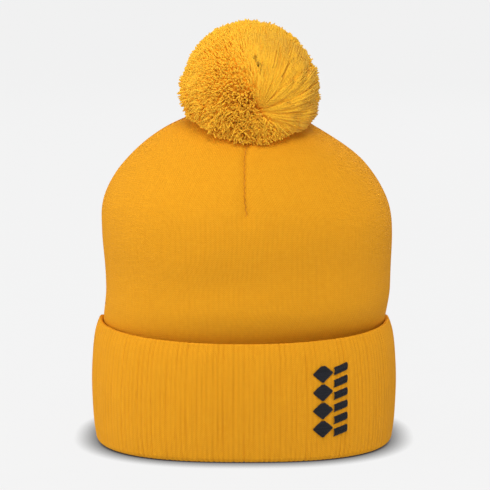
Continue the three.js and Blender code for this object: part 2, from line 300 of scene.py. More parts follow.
def knit_finish(name, light, middle, deep, relief, courses):
    """u counts ribs of two wales, so one wale is half a unit. v counts courses. relief is the bump's
    depth in millimetres, and courses is the share of a stitch's height lost between two courses."""
    r = Recipe(name)
    uv, u, v = r.stitch_uv()
    place = r.object_place()
    wander = r.math("MULTIPLY_ADD", r.noise(place, 60.0), 0.5, -0.25)
    wale = r.math("FRACT", r.math("MULTIPLY_ADD", u, 2.0, wander))
    across = r.math("ABSOLUTE", r.math("SUBTRACT", wale, 0.5))
    leg = r.math("ABSOLUTE", r.math("SINE", r.math("MULTIPLY", across, 2 * np.pi)))
    leg = r.math("POWER", leg, 0.7)
    course = r.math("FRACT", r.math("MULTIPLY_ADD", across, -1.3, v))
    loop = r.math("SINE", r.math("MULTIPLY", course, np.pi))
    stitch = r.math("MULTIPLY", leg, r.math("MULTIPLY_ADD", loop, courses, 1 - courses))
    fibre = r.noise(uv, 9.0, 4.0)
    height = r.math("MULTIPLY_ADD", fibre, 0.22, stitch)
    heather = r.math("MULTIPLY_ADD", r.noise(place, 420.0, 3.0), 1.1, -0.1)
    body = r.blend(heather, middle, light)
    # Painted shade: where the stitch's height is low, between legs and courses, the colour goes towards
    # deep, and the shade attribute darkens the rib valleys further.
    valley = r.math("SMOOTH_MIN", r.math("MULTIPLY", stitch, 1.9), 1.0, 0.3)
    rib_valley_shade = r.math("MULTIPLY_ADD", r.shade(), 0.6, 0.4)
    colour = r.blend(r.math("MULTIPLY", valley, rib_valley_shade), deep, body)
    r.bump(height, relief * MM)
    return r.surface(
        Base_Color=colour, Roughness=0.92, Specular_IOR_Level=0.1,
        Sheen_Weight=0.1, Sheen_Roughness=0.45, Sheen_Tint=srgb(255, 196, 90),
    )


amber_knit = knit_finish("amber fine-gauge knit", YARN_LIGHT, YARN_MIDDLE, YARN_DEEP, 0.26, 0.66)
cuff_knit = knit_finish("amber cuff knit", YARN_LIGHT, YARN_MIDDLE, YARN_DEEP, 0.28, 0.6)
inner_knit = knit_finish("amber lining knit", YARN_MIDDLE, srgb(240, 160, 34), YARN_DEEP, 0.2, 0.55)
print("knit finishes:", amber_knit.name, cuff_knit.name, inner_knit.name, sep="\n  ")


# %% [markdown]
# Yarn and thread are twisted plies. Modelling each ply would double every strand's faces, so one
# round strand stands for all of them. Its stitch coordinates run round it in u and along it in v, and
# a sine of the two together draws the twist as a fine diagonal groove, in bump and in painted shade.

# %% Thread finishes
WHITE = (1, 1, 1, 1)
AMBER_TINT = srgb(255, 220, 150)


def thread_finish(name, light, deep, twist, groove, roughness, sheen, tint=WHITE):
    """shade on each strand picks its place between the deep and the light colour. twist is turns per
    millimetre, and groove is the bump's depth in millimetres."""
    r = Recipe(name)
    _, u, v = r.stitch_uv()
    turn = r.math("MULTIPLY_ADD", v, twist, r.math("MULTIPLY", u, 2.0))
    ply = r.math("ABSOLUTE", r.math("SINE", r.math("MULTIPLY", turn, np.pi)))
    fluff = r.noise(r.object_place(), 900.0, 3.0)
    tone = r.math("MULTIPLY_ADD", fluff, 0.5, r.math("SUBTRACT", r.shade(), 0.25))
    # Painted shade: the colour darkens along the twist's groove.
    tone = r.math("MULTIPLY", tone, r.math("MULTIPLY_ADD", ply, 0.2, 0.82))
    colour = r.blend(tone, deep, light)
    r.bump(r.math("MULTIPLY_ADD", fluff, 0.5, ply), groove * MM)
    return r.surface(
        Base_Color=colour, Roughness=roughness, Specular_IOR_Level=0.15,
        Sheen_Weight=sheen, Sheen_Roughness=0.5, Sheen_Tint=tint,
    )


pom_yarn = thread_finish(
    "fluffy pom yarn", srgb(255, 198, 54), srgb(232, 159, 28), 0.5, 0.15, 0.95, 0.15, AMBER_TINT
)
seam_thread = thread_finish(
    "amber seam thread", srgb(240, 162, 34), srgb(196, 116, 10), 1.5, 0.08, 0.8, 0.15, AMBER_TINT
)
black_thread = thread_finish(
    "black embroidery thread", srgb(34, 36, 44), srgb(14, 15, 20), 2.0, 0.05, 0.42, 0.1
)
white_thread = thread_finish(
    "white sewing thread", srgb(244, 243, 240), srgb(205, 203, 198), 2.0, 0.05, 0.7, 0.1
)
print("thread finishes:", pom_yarn.name, seam_thread.name, black_thread.name, white_thread.name, sep="\n  ")


# %% [markdown]
# The floor is a pale sweep. A plain disc lit by the soft boxes would come out uneven, with a wide grey
# shadow. So it shines mostly by itself, and an ambient occlusion node dims that shine in the nook
# close to the hat, which is where a soft contact shadow lies.

# %% Floor
FLOOR_RADIUS = 40
FLOOR_CORNERS = 96
FLOOR_GLOW = 0.885
SHADOW_REACH = 15 * MM
SHADOW_POWER = 1.7


def make_floor():
    """A wide pale disc, mostly its own light so that it stays even, that still takes a soft shadow."""
    turn = np.linspace(0, 2 * np.pi, FLOOR_CORNERS, endpoint=False)
    rim = np.stack([FLOOR_RADIUS * np.cos(turn), FLOOR_RADIUS * np.sin(turn), 0 * turn], 1)
    mesh = bpy.data.meshes.new("floor")
    mesh.from_pydata(rim.tolist(), [], [list(range(FLOOR_CORNERS))])
    floor = bpy.data.objects.new("floor", mesh)
    floor.location.z = -0.05 * MM
    bpy.context.scene.collection.objects.link(floor)
    r = Recipe("pale sweep")
    grain = r.noise(r.object_place(), 30.0)
    tone = r.blend(grain, (0.03, 0.03, 0.031, 1), (0.035, 0.035, 0.036, 1))
    nook = r.add("ShaderNodeAmbientOcclusion")
    nook.samples = 16
    nook.inputs["Distance"].default_value = SHADOW_REACH
    open_sky = r.math("POWER", nook.outputs["AO"], SHADOW_POWER)
    r.surface(
        Base_Color=tone, Roughness=0.95, Specular_IOR_Level=0.0, Emission_Color=(0.985, 0.985, 0.985, 1),
        Emission_Strength=r.math("MULTIPLY", open_sky, FLOOR_GLOW),
    )
    mesh.materials.append(r.material)
    floor.visible_diffuse = False
    floor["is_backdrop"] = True
    print("floor:", 2 * FLOOR_RADIUS, "metres across")


make_floor()


# %% [markdown]
# ## The shape of the hat
#
# A knit cap could be sculpted, or draped over a head by a cloth simulation, but then its plies would
# not fit the CAD parts. So every ply is a profile of half widths and heights, carried round a
# squared-off oval. These are the sizes that the CAD parts were made from, in millimetres, except that
# the cuff's top and hem close in a little more, as ribbed knit does. Two tables lean the crown.

# %% Sizes of the hat
KNIT = 1.3
GAP = 0.3
DEPTH = 0.88
SHELL_RADIUS = 89.6
SHELL_TUBE_TOP = 76.0
SHELL_SHAPE = [[90.4, 104], [91.6, 133], [88.6, 155], [77, 175], [57.6, 192], [31, 206.8]]
APEX_HEIGHT = 213.5
APEX_HOLE = 3.2
APEX_RIM = [APEX_HOLE, APEX_HEIGHT - 0.15]
CUFF_SHAPE = [[94.6, 3.4], [96.1, 16], [97, 38], [96.2, 57], [94.9, 68], [93.4, 73.6], [92.4, 76]]
CUFF_SAG = 4.0
CUFF_SAG_BEHIND = 6.5
LINING_MID = SHELL_RADIUS - 1.5 * KNIT - GAP
TURN_CENTRE = (LINING_MID + CUFF_SHAPE[0][0] - KNIT / 2) / 2
HEM_INNER = 90.3
SQUARE_TUBE = 2.38
SQUARE_CUFF = 2.6
LEAN_X = [[72, 0], [98, 2.6], [134, 2.2], [176, 0.1], [198, -2], [213.5, 1.7]]
LEAN_Y = [[110, 0], [213.5, -7]]
SEAM_FOOT = 151.0
SEAM_DRIFT = [[150, 1.6], [164, 0.4], [182, 0.4], [200, 3.0], [213.5, 1.7]]
INNER_WALL = DEPTH * (SHELL_RADIUS - 2 * KNIT - GAP)
print("the crown is", round(APEX_HEIGHT), "mm high and the cuff", round(CUFF_SHAPE[-1][1]), "mm")


# %% Formulas of the hat
def ease(value, low, high):
    """0 below low, 1 above high, and a smooth S between them."""
    t = np.clip((value - low) / (high - low), 0, 1)
    return t * t * (3 - 2 * t)


def eased_table(rows, z):
    """Value at height z of a table of heights and values, eased from row to row."""
    value = np.full_like(z, rows[0][1], dtype=float)
    for (z0, v0), (z1, v1) in zip(rows, rows[1:]):
        value = value + (v1 - v0) * ease(z, z0, z1)
    return value


def square_off(theta, exponent):
    """How far a superellipse of this exponent stands out from an ellipse at angle theta."""
    c = np.abs(np.cos(theta)) ** exponent
    s = np.abs(np.sin(theta)) ** exponent
    return (c + s) ** (-1 / exponent)


def through(rows, steps):
    """Catmull-Rom curve through rows of (half width, height), with steps points in each stretch: a
    cubic between b and c whose slopes at them are half of c - a and half of d - b."""
    p = np.array(rows, float)
    p = np.concatenate([p[:1], p, p[-1:]])
    t = np.linspace(0, 1, steps, endpoint=False)[:, None]
    stretches = [
        0.5 * (2 * b + (c - a) * t + (2 * a - 5 * b + 4 * c - d) * t**2 + (3 * b - a - 3 * c + d) * t**3)
        for a, b, c, d in zip(p, p[1:], p[2:], p[3:])
    ]
    return np.concatenate([*stretches, p[-1:]])


def evenly(line, count):
    """The same line with count points at equal distances along it."""
    along = np.concatenate([[0], np.cumsum(np.linalg.norm(np.diff(line, axis=0), axis=1))])
    at = np.linspace(0, along[-1], count)
    return np.stack([np.interp(at, along, line[:, k]) for k in range(line.shape[1])], 1)


# %% [markdown]
# Soft cloth never stands as a perfect oval. Noise would make it lumpy all over, so a handful of wide,
# shallow swells and hollows are placed one by one instead. They are added to the shell's and the
# lining's surfaces together, so the two plies stay a gap apart: the front swells over the cuff, the
# cloth tucks in just above the hem, and each crown seam pulls a groove.

# %% Soft folds
SWELLS = [
    # angle, height, half angle, half height, how far out (mm)
    [270, 136, 55, 26, 2.6],
    [236, 152, 20, 20, 1.0],
    [300, 122, 24, 16, -1.3],
    [262, 108, 12, 9, -0.9],
    [282, 141, 11, 8, -0.8],
    [246, 120, 14, 12, 0.8],
    [214, 112, 16, 18, -0.9],
    [326, 148, 16, 16, 0.9],
    [20, 128, 26, 20, -1.2],
    [62, 140, 24, 18, 1.2],
    [100, 116, 22, 14, -1.5],
    [130, 145, 22, 18, 0.8],
    [165, 120, 20, 16, -1.1],
    [190, 150, 20, 16, 0.9],
    [90, 138, 50, 26, 1.4],
]
TUCK = 11.5
SEAM_GROOVE = 1.25
SEAM_DIMPLE = 1.4


def swelling(theta, z):
    """Sum of bell-shaped swells over angle and height, faded out inside the cuff, minus the tuck
    above the hem and the groove along each of the four crown seams."""
    total = np.zeros(np.broadcast(theta, z).shape)
    for angle, height, half_angle, half_height, out in SWELLS:
        turn = np.angle(np.exp(1j * (theta - np.radians(angle)))) / np.radians(half_angle)
        total = total + out * np.exp(-(turn**2) - ((z - height) / half_height) ** 2)
    total = total * ease(z, 84, 112)
    facing = ease(-np.sin(theta), 0.05, 1.0) * (0.9 + 0.3 * np.cos(theta))
    total = total - TUCK * ease(z, 36, 62) * (1 - ease(z, 62, 93)) * facing
    nearest = np.abs(np.angle(np.exp(4j * theta))) / 4
    across = nearest * 85 * ease(APEX_HEIGHT + 12 - z, 0, 46)
    pull = ease(z, SEAM_FOOT - 10, SEAM_FOOT + 8) * ease(APEX_HEIGHT - z, 3, 14)
    dimple = SEAM_DIMPLE * np.exp(-(((z - SEAM_FOOT) / 5) ** 2) - (across / 4.5) ** 2)
    return total - SEAM_GROOVE * pull * np.exp(-((across / 2.6) ** 2)) - dimple


def seam_slide(r, theta, z):
    """The angle, turned so that the front and back seams lie where the crown leans them."""
    drift = (eased_table(SEAM_DRIFT, z) - eased_table(LEAN_X, z)) * ease(z, 100, 150)
    return theta - drift / np.maximum(r, 12) * np.sin(theta) * ease(APEX_HEIGHT - z, 0, 12)


def shell_point(r, theta, z):
    """Point at half width r, angle theta and height z: a superellipse whose corners round off
    towards the apex, moved sideways and forwards by the two leaning tables. Millimetres."""
    exponent = SQUARE_TUBE + (2 - SQUARE_TUBE) * ease(z, 120, 200)
    turned = seam_slide(r, theta, z)
    reach = (r + swelling(theta, z) * ease(r, 4, 30)) * square_off(turned, exponent)
    x = eased_table(LEAN_X, z) + reach * np.cos(turned)
    y = eased_table(LEAN_Y, z) + DEPTH * reach * np.sin(turned)
    return np.stack([x, y, z + 0 * x], -1)


def cuff_square(r, z):
    """The cuff is squarest at its foot. Its inner leg keeps the section of the tube inside it."""
    face = SQUARE_CUFF + (SQUARE_TUBE + 0.03 - SQUARE_CUFF) * np.clip(z / SHELL_TUBE_TOP, 0, 1)
    outwards = np.clip((r - LINING_MID) / (CUFF_SHAPE[0][0] - LINING_MID), 0, 1)
    return SQUARE_TUBE + (face - SQUARE_TUBE) * outwards


def cuff_dip(theta, z):
    """The hem dips by CUFF_SAG at the front and the back, and by CUFF_SAG_BEHIND more at the back."""
    behind = CUFF_SAG_BEHIND * ease(np.sin(theta), 0, 0.5)
    return (CUFF_SAG * np.sin(theta) ** 2 + behind) * ease(z, 8, SHELL_TUBE_TOP)


def cuff_point(r, theta, z):
    """Point on the cuff, whose top dips at the front and the back. Millimetres."""
    reach = r * square_off(theta, cuff_square(r, z))
    x, y = reach * np.cos(theta), DEPTH * reach * np.sin(theta)
    return np.stack([x, y, z - cuff_dip(theta, z) + 0 * x], -1)


# %% [markdown]
# ## Knitted plies
#
# Each ply is one layer of knit. It could be a single sheet thickened by a modifier, but a closed
# profile carried round the hat gives the folds and hems their true round edges. So a ply is a grid of
# rows along the profile and columns round the oval. The columns cut the oval into equal lengths, six
# to each rib, so that the ribs are real relief and not only a pattern. Above the crown seams' feet
# the cloth was cut into darts: each quarter's ribs stay a rib apart and run off the edge at the seam.

# %% Profile and rib formulas
RIB = 3.1
COURSE = 1.35
RIB_COLUMNS = 6
RIB_COUNT = 184
DART_RADIUS = 88.0
HIDDEN_STEP = 4


def equal_angles(count):
    """Angles that cut the tube's oval into equal lengths, starting at the middle of the back."""
    fine = np.linspace(0.5 * np.pi, 2.5 * np.pi, 7201)
    reach = square_off(fine, SQUARE_TUBE)
    oval = np.stack([reach * np.cos(fine), DEPTH * reach * np.sin(fine)], 1)
    along = np.concatenate([[0], np.cumsum(np.linalg.norm(np.diff(oval, axis=0), axis=1))])
    return np.interp(np.linspace(0, along[-1], count + 1), along, fine)


ANGLES = equal_angles(RIB_COUNT * RIB_COLUMNS)


def normals_of(line):
    """Unit normals to the left of the direction of travel."""
    along = np.gradient(line, axis=0)
    along /= np.linalg.norm(along, axis=1, keepdims=True)
    return np.stack([-along[:, 1], along[:, 0]], 1)


def ply_profile(line, shown):
    """Closed loop round a mid-line. shown is +1 if the seen side is to the left of the line's travel
    and -1 if to its right; the other side keeps one point in HIDDEN_STEP. Gives points, outward
    normals, distance along the line and 1 or 0 for the seen side, all row by row."""
    normal = normals_of(line)
    along = np.concatenate([[0], np.cumsum(np.linalg.norm(np.diff(line, axis=0), axis=1))])
    back = np.unique(np.r_[np.arange(0, len(line), HIDDEN_STEP), len(line) - 1])[::-1]
    seen = line + shown * normal * KNIT / 2
    hidden = (line - shown * normal * KNIT / 2)[back]
    points = np.concatenate([seen, hidden])
    outward = np.concatenate([shown * normal, -shown * normal[back]])
    distance = np.concatenate([along, along[back]])
    face = np.concatenate([np.ones(len(line)), np.zeros(len(back))])
    return points, outward, distance, face


def rib_relief(u, z, seed, depth):
    """A rounded ridge over each rib with a narrow valley between ribs. Ribs differ a little in
    width, and a valley fades in and out up the cloth, as the stitches tighten and slacken. Gives the
    relief and a painted shade for the colour, darker in each valley."""
    rng = np.random.default_rng(seed)
    a, b, c, d = rng.uniform(0, 2 * np.pi, (4, 1, 1))
    u = u + 0.07 * np.sin(1.37 * u + a) + 0.05 * np.sin(2.9 * u + b + 0.02 * z)
    level = rng.uniform(0.55, 1.15, 512)[np.floor(u + 0.5).astype(int) % 512]
    fade = 0.85 + 0.18 * np.sin(0.11 * z + 5.3 * np.floor(u + 0.5) + c)
    fade = fade + 0.1 * np.sin(0.23 * z + 2.1 * u + d)
    valley = np.clip(level * fade, 0, 1.3) * (1 - np.abs(np.sin(np.pi * u)) ** 0.55)
    return -depth * valley, 1 - min(0.75, 2.5 * depth) * np.clip(valley, 0, 1)


def wrapped_grid(rows, columns):
    """Quads joining each point of a grid to the next row and column, closed both ways."""
    i, j = np.meshgrid(np.arange(rows), np.arange(columns), indexing="ij")
    here, ahead = i * columns, (i + 1) % rows * columns
    beside = (j + 1) % columns
    return np.stack([here + j, here + beside, ahead + beside, ahead + j], -1).reshape(-1, 4)


def grid_uv(u, v, rows, columns):
    """Corner coordinates for wrapped_grid. u has one column more than the grid, for the last quads."""
    ahead = (np.arange(rows) + 1) % rows
    corners = [
        (u[:, :-1], v[:, None]), (u[:, 1:], v[:, None]),
        (u[ahead, 1:], v[ahead, None]), (u[ahead, :-1], v[ahead, None]),
    ]
    packed = [np.stack(np.broadcast_arrays(a, b), -1) for a, b in corners]
    return np.stack(packed, 2).reshape(-1, 4, 2)


def knitted_ply(name, node, body, finish, line, shown, place, rib_depth, darts=False, seed=1):
    """Carries a ply's profile round the hat and pushes its seen side in and out along the ribs. place
    is the formula that turns a half width, an angle and a height into a point."""
    points, outward, distance, face = ply_profile(line, shown)
    theta = ANGLES[None, :]
    r, z = points[:, :1], points[:, 1:]
    ribs = np.linspace(0, RIB_COUNT, len(ANGLES))[None, :]
    u = np.repeat(ribs, len(points), 0)
    if darts:
        quarter = RIB_COUNT / 4
        middle = (np.floor(np.clip(ribs, 0, RIB_COUNT - 1e-6) / quarter) + 0.5) * quarter
        shrink = np.where(z > SEAM_FOOT, np.minimum(r / DART_RADIUS, 1), 1.0)
        u = middle + (u - middle) * shrink
    relief, ridge = rib_relief(u, z, seed, rib_depth)
    fade = face[:, None] * np.minimum(1, np.minimum(distance, distance.max() - distance) / 3)[:, None]
    push = relief * fade
    grid = place(r + outward[:, :1] * push, theta, z + outward[:, 1:] * push)[:, :-1]
    rows, columns = grid.shape[:2]
    quads = wrapped_grid(rows, columns)
    uv = grid_uv(u, distance / COURSE, rows, columns)
    # Painted shade: the seen side's rib valleys get a lower shade, which darkens the knit's colour.
    shades = np.where(face[:, None] > 0, ridge[:, :-1], 1.0)
    piece = make_piece(name, grid * MM, [quads], body, finish, [uv], shades)
    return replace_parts(piece, node)


# %% Outer shell and lining
def shell_line(foot, inset):
    """The shell's outer line from its foot to the rim of the apex hole, moved in by inset."""
    dome = through([[SHELL_RADIUS, SHELL_TUBE_TOP], *SHELL_SHAPE, APEX_RIM], 60)
    hidden = np.stack([np.full(5, SHELL_RADIUS), np.linspace(foot, SHELL_TUBE_TOP - 8, 5)], 1)
    shown = evenly(np.concatenate([[[SHELL_RADIUS, SHELL_TUBE_TOP - 6]], dome]), 66)
    line = np.concatenate([hidden, shown])
    return line + normals_of(line) * inset


outer_shell = knitted_ply(
    "outer_shell_knit", "outer_shell", "crown", amber_knit,
    shell_line(5.3, KNIT / 2), -1, shell_point, 0.08, darts=True, seed=3,
)
lining_shell = knitted_ply(
    "lining_knit", "lining_shell", "crown", inner_knit,
    shell_line(7.3, 1.5 * KNIT + GAP), 1, shell_point, 0.22, darts=True, seed=4,
)


# %% [markdown]
# ## The cuff
#
# The cuff's outer ply starts inside the hat, turns up round the bottom edge, climbs the outside and
# rolls over at the top. The second ply lies behind it. A plain band would be quicker, but its edges
# would look cut, so each fold is drawn as an arc in the profile. The ribs are deeper here, because
# the cuff is stretched a little less than the crown.

# %% Cuff plies
def arc(centre, radius, start, stop, count):
    """count points on a circle about centre, from the angle start to the angle stop, in degrees."""
    angle = np.radians(np.linspace(start, stop, count))
    return np.stack([centre[0] + radius * np.cos(angle), centre[1] + radius * np.sin(angle)], 1)


def cuff_face_line():
    """Mid-line of the outer ply: up from the turned-up fold, over the top and down behind the hem."""
    half = KNIT / 2
    wall = through(CUFF_SHAPE, 40)
    wall = evenly(wall + normals_of(wall) * half, 40)
    fold = wall[0, 0] - TURN_CENTRE
    hem = (wall[-1, 0] - HEM_INNER) / 2
    turn_up = arc((TURN_CENTRE, fold + half), fold, 180, 360, 15)
    rise = np.stack([np.full(3, TURN_CENTRE - fold), np.linspace(9, fold + 2, 3)], 1)
    roll = arc((HEM_INNER + hem, wall[-1, 1]), hem, 0, 180, 10)
    tuck = np.array([[HEM_INNER, wall[-1, 1] - 1.6], [HEM_INNER, 71.5]])
    return np.concatenate([rise, turn_up, wall[2:-1], roll, tuck])


def cuff_back_line():
    """Mid-line of the second ply: round inside the fold, then up behind the face to the hem."""
    half = KNIT / 2
    fold = CUFF_SHAPE[0][0] - half - TURN_CENTRE - KNIT - GAP
    centre = CUFF_SHAPE[0][0] - half - TURN_CENTRE + half
    turn_up = arc((TURN_CENTRE, centre), fold, 180, 360, 7)
    wall = through([[92.2, 20], [92, 45], [91.4, 64], [HEM_INNER, 71.2]], 4)
    return np.concatenate([[[TURN_CENTRE - fold, 6.5]], turn_up, wall])


cuff_face = knitted_ply(
    "cuff_face_knit", "cuff_face", "cuff", cuff_knit,
    cuff_face_line(), -1, cuff_point, 0.55, seed=5,
)
cuff_back = knitted_ply(
    "cuff_back_knit", "cuff_back", "cuff", inner_knit,
    cuff_back_line(), -1, cuff_point, 0.0, seed=6,
)


# %% [markdown]
# ## Strands
#
# Yarn, sewing thread and embroidery are all round strands along a path. Curve objects or hair could
# draw them, but a mesh of their own is what other tools can read, and is quicker for thousands. One
# helper carries a small ring of points along all the paths at once. Each ring lies square to its
# path, and both ends are capped, so a strand is closed. A strand has only a few dozen faces.

# %% Strand helper
SIDES = 5


def unit(vectors):
    """The same directions, each divided by its length."""
    return vectors / np.linalg.norm(vectors, axis=-1, keepdims=True)


def strands(name, paths, radii, body, finish, shades):
    """Tubes of the given radii (n, k) along paths (n, k, 3), in millimetres. Ring corner j stands at
    angle 2 pi j / SIDES round the path. shades is (n,) or (n, k)."""
    paths = np.asarray(paths, float)
    n, k = paths.shape[:2]
    along = unit(np.gradient(paths, axis=1))
    steep = np.abs(along[:, :1, 2:]) > 0.8
    reference = np.where(steep, [[[1.0, 0, 0]]], [[[0, 0, 1.0]]])
    side = unit(np.cross(along, reference))
    rise = np.cross(side, along)
    turn = 2 * np.pi * np.arange(SIDES) / SIDES
    ring = np.cos(turn)[:, None] * side[:, :, None] + np.sin(turn)[:, None] * rise[:, :, None]
    points = paths[:, :, None] + np.broadcast_to(radii, (n, k))[:, :, None, None] * ring
    index = np.arange(n * k * SIDES).reshape(n, k, SIDES)
    low, high = index[:, :-1], index[:, 1:]
    quads = np.stack([low, np.roll(low, -1, 2), np.roll(high, -1, 2), high], -1).reshape(-1, 4)
    steps = np.linalg.norm(np.diff(paths, axis=1), axis=2)
    length = np.concatenate([np.zeros((n, 1)), np.cumsum(steps, 1)], 1)
    u = np.broadcast_to(np.arange(SIDES) / SIDES, (n, k - 1, SIDES))
    v0 = np.broadcast_to(length[:, :-1, None], u.shape)
    v1 = np.broadcast_to(length[:, 1:, None], u.shape)
    step = 1 / SIDES
    uv = np.stack([u, v0, u + step, v0, u + step, v1, u, v1], -1).reshape(-1, 4, 2)
    caps = np.concatenate([index[:, 0, ::-1], index[:, -1]])
    cap_uv = np.zeros((len(caps), SIDES, 2))
    tone = np.broadcast_to(np.asarray(shades, float).reshape(n, -1), (n, k))
    tone = np.repeat(tone.reshape(-1), SIDES)
    groups = [quads, caps]
    return make_piece(name, points * MM, groups, body, finish, [uv, cap_uv], tone)


# %% [markdown]
# ## The pom
#
# A pom is a bundle of yarn tied at its middle and cut round into a ball, so every strand runs from
# the tie to the surface. A bumpy ball would be far lighter, but its outline would be smooth and its
# shadows wrong. So it is made as the real one is: directions spread evenly over the ball, each
# carrying one strand. Strands cling together in clumps, the ones low down curl and hang, and on the
# right they part from one spot and lie over the surface as if combed. Where the ball rests on the
# crown the strands are lifted clear of it, with extra room at the sides for the pom to sway.

# %% Sizes of the pom
POM_CENTRE = np.array([3.0, -23.0, 222.6])
POM_RADIUS = 43.2
POM_STRANDS = 17000
POM_CLUMPS = 420
PARTING = unit(np.array([6.0, -41.0, -12.0]))
TIE_YAW = np.radians(17)
APEX = np.array([1.7, -7.0, APEX_HEIGHT])
ROOM_BESIDE = 5.2
ROOM_BEHIND = 3.6
STRAND_TOP = 0.12


# %% Directions and the crown under the pom
def spread_directions(count, rng, jitter):
    """A golden spiral over the sphere, each direction then nudged at random."""
    k = np.arange(count) + 0.5
    z = 1 - 2 * k / count
    turn = k * np.pi * (1 + 5**0.5)
    ring = np.sqrt(1 - z * z)
    even = np.stack([ring * np.cos(turn), ring * np.sin(turn), z], 1)
    return unit(even + rng.normal(0, jitter, even.shape))


def crown_height(x, y):
    """Height of the shell over a place on the plan. The half width there comes from the superellipse,
    and the height from the shell's profile. A few rounds settle the lean, which depends on height."""
    dome = through([*SHELL_SHAPE[2:], APEX_RIM, [0, APEX_HEIGHT]], 20)[::-1]
    z = np.full(np.shape(x), 200.0)
    for _ in range(5):
        exponent = SQUARE_TUBE + (2 - SQUARE_TUBE) * ease(z, 120, 200)
        across = np.abs(x - eased_table(LEAN_X, z)) ** exponent
        deep = np.abs((y - eased_table(LEAN_Y, z)) / DEPTH) ** exponent
        z = np.interp((across + deep) ** (1 / exponent), dome[:, 0], dome[:, 1])
    return z


def clear_height(x, y, least):
    """Height that the pom keeps over the crown: least at the middle, and more to the sides and back."""
    beside = ROOM_BESIDE * ease(np.abs(x - APEX[0]), 5, 30)
    return crown_height(x, y) + (least + beside + ROOM_BEHIND * ease(y, -30, 6))


def smooth_side(direction):
    """1 at the upper left of the front, where the yarn lies closest, falling to 0 away from there."""
    return ease(direction @ unit(np.array([-0.5, -0.5, 0.75])), 0.4, 0.85)


# %% Strand paths
def combed(direction):
    """How far a strand belongs to the combed fan, and its direction pushed away from the parting.
    The fan lies to the right of and above the parting spot."""
    right = unit(np.cross([0, 0, 1.0], PARTING) * -1)
    right = right * np.sign(right[0])
    upward = np.cross(right, PARTING) * np.sign(np.cross(right, PARTING)[2])
    bearing = np.degrees(np.arctan2(direction @ upward, direction @ right))
    angle = np.degrees(np.arccos(np.clip(direction @ PARTING, -1, 1)))
    share = ease(bearing, -48, -22) * (1 - ease(bearing, 62, 124)) * (1 - ease(angle, 62, 92))
    pushed = np.radians(angle + share * (1 - angle / 92) * 27)
    tangent = unit(direction - (direction @ PARTING)[:, None] * PARTING)
    moved = np.cos(pushed)[:, None] * PARTING + np.sin(pushed)[:, None] * tangent
    return share, np.where(share[:, None] > 0.01, moved, direction), angle


def pom_paths():
    """Each strand's path: its direction turns from where it leaves the heart to where its tip is,
    while its distance from the tie grows. Curl, droop and the lift off the crown are then added."""
    rng = np.random.default_rng(11)
    direction = spread_directions(POM_STRANDS, rng, 0.02)
    share, tip, angle = combed(direction)
    clumps = spread_directions(POM_CLUMPS, rng, 0.05)
    mine = np.argmax(tip @ clumps.T, 1)
    smooth = smooth_side(tip)
    low = ease(-tip[:, 2], -0.12, 0.42) * (1 - share)
    cling = (0.36 - 0.24 * smooth + 0.2 * share) * rng.uniform(0.2, 1.2, POM_STRANDS)
    tip = unit(tip + cling[:, None] * (clumps[mine] - tip))
    tip = unit(tip + rng.normal(0, 0.03, tip.shape) * (1 - 0.7 * share)[:, None])
    start = unit(direction + 0.93 * share[:, None] * (PARTING - direction))
    t = np.linspace(0, 1, 5)[None, :, None]
    bend = t ** (1 + 0.15 * share[:, None, None])
    way = unit(start[:, None] + bend * (tip - start)[:, None])
    reach = 1 + rng.normal(0, 0.012, POM_STRANDS)
    reach += rng.normal(0, 0.02, POM_CLUMPS)[mine] * (1 - 0.5 * smooth)
    reach -= 0.035 * ease(-tip[:, 0], 0.4, 1)
    reach -= 0.06 * share * rng.uniform(0, 1, POM_STRANDS) ** 2
    reach -= 0.05 * np.exp(-((angle / 13) ** 2))
    hang = ease(-tip[:, 2], 0.25, 0.7) * ease(-tip[:, 1], 0.1, 0.7)
    reach += 0.10 * hang - 0.03 * low
    inner = 0.66 + 0.1 * share
    growth = t ** (1 - 0.42 * share[:, None, None])
    grow = inner[:, None, None] + (reach - inner)[:, None, None] * growth
    path = POM_CENTRE + POM_RADIUS * grow * way
    across = unit(np.cross(tip, [[0.3, 0.2, 1.0]]))
    over = np.cross(tip, across)
    up = t[0, :, 0]
    phase = rng.uniform(0, 2 * np.pi, POM_STRANDS)[:, None]
    phase = phase + 2 * np.pi * up * rng.uniform(0.7, 1.5, (POM_STRANDS, 1))
    curl = (0.35 + 2.3 * low) * rng.uniform(0.4, 1.1, POM_STRANDS) * (1 - 0.75 * smooth)
    swing = curl[:, None] * up**1.6
    path = path + (swing * np.cos(phase))[..., None] * across[:, None]
    path = path + (swing * np.sin(phase))[..., None] * over[:, None]
    sag = (0.6 + 1.6 * low) * (1 - np.abs(tip[:, 2]))
    path[..., 2] -= sag[:, None] * up**2
    lowest = clear_height(path[..., 0], path[..., 1], 1.5)
    path[..., 2] = np.maximum(path[..., 2], lowest)
    buried = (lowest - (POM_CENTRE + POM_RADIUS * tip)[:, None, 2])[:, -1]
    return path, tip, buried, low, smooth, share, rng


